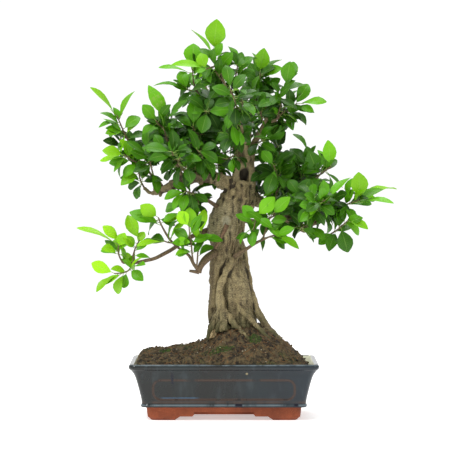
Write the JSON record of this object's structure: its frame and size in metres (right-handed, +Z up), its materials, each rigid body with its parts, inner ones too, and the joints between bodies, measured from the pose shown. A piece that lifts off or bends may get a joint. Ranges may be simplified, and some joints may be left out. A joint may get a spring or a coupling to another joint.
{
  "type": "bonsai tree in a pot",
  "caption": "Fig bonsai with a fused-root trunk and leafy twigs, in soil with moss, in a shallow rectangular glazed tray on corner feet.",
  "frame": {"origin": "under the middle of the whole object's bounding box, on the table that the pot's feet stand on", "axes": "+Z up, +X to the viewer's right along the pot's long side, -Y towards the viewer; the pot stands left of the origin because the crown leans right"},
  "size_m": [0.4068, 0.282, 0.5269],
  "materials": {
    "glaze": "dark slate-blue glossy glaze, breaking brown where it is thin",
    "soil": "matte, moist grains with bark fibres and light grit",
    "moss": "matte",
    "plastic": "matte",
    "bark": "matte, speckled and ringed bark",
    "leaf": "satin, waxy upper side"
  },
  "bodies": {
    "root": {"aerial_root": "bark", "crown_back_top_spray": "leaf", "crown_centre_spray": "leaf", "crown_far_back_spray": "leaf", "crown_front_left_spray": "leaf", "crown_front_right_spray": "leaf", "crown_front_spray": "leaf", "crown_left_back_spray": "leaf", "crown_left_spray": "leaf", "crown_limbs": "bark", "crown_low_right_spray": "leaf", "crown_middle_spray": "leaf", "crown_right_spray": "leaf", "crown_top_spray": "leaf", "drain_mesh_left": "plastic", "drain_mesh_right": "plastic", "far_left_spray": "leaf", "front_branch": "leaf", "hanging_branch": "leaf", "left_back_spray": "leaf", "left_centre_spray": "leaf", "left_crown_spray": "leaf", "left_edge_spray": "leaf", "left_front_spray": "leaf", "left_inner_spray": "leaf", "left_limb": "bark", "left_low_spray": "leaf", "left_middle_spray": "leaf", "left_top_spray": "leaf", "low_left_branch": "leaf", "moss_back": "moss", "moss_front": "moss", "moss_left": "moss", "moss_trunk": "moss", "pot": "glaze", "right_back_spray": "leaf", "right_centre_spray": "leaf", "right_dark_spray": "leaf", "right_far_spray": "leaf", "right_front_spray": "leaf", "right_inner_spray": "leaf", "right_limb": "bark", "right_low_spray": "leaf", "right_top_spray": "leaf", "soil": "soil", "trunk": "bark", "under_left_spray": "leaf", "under_right_spray": "leaf"}
  },
  "joints": []
}
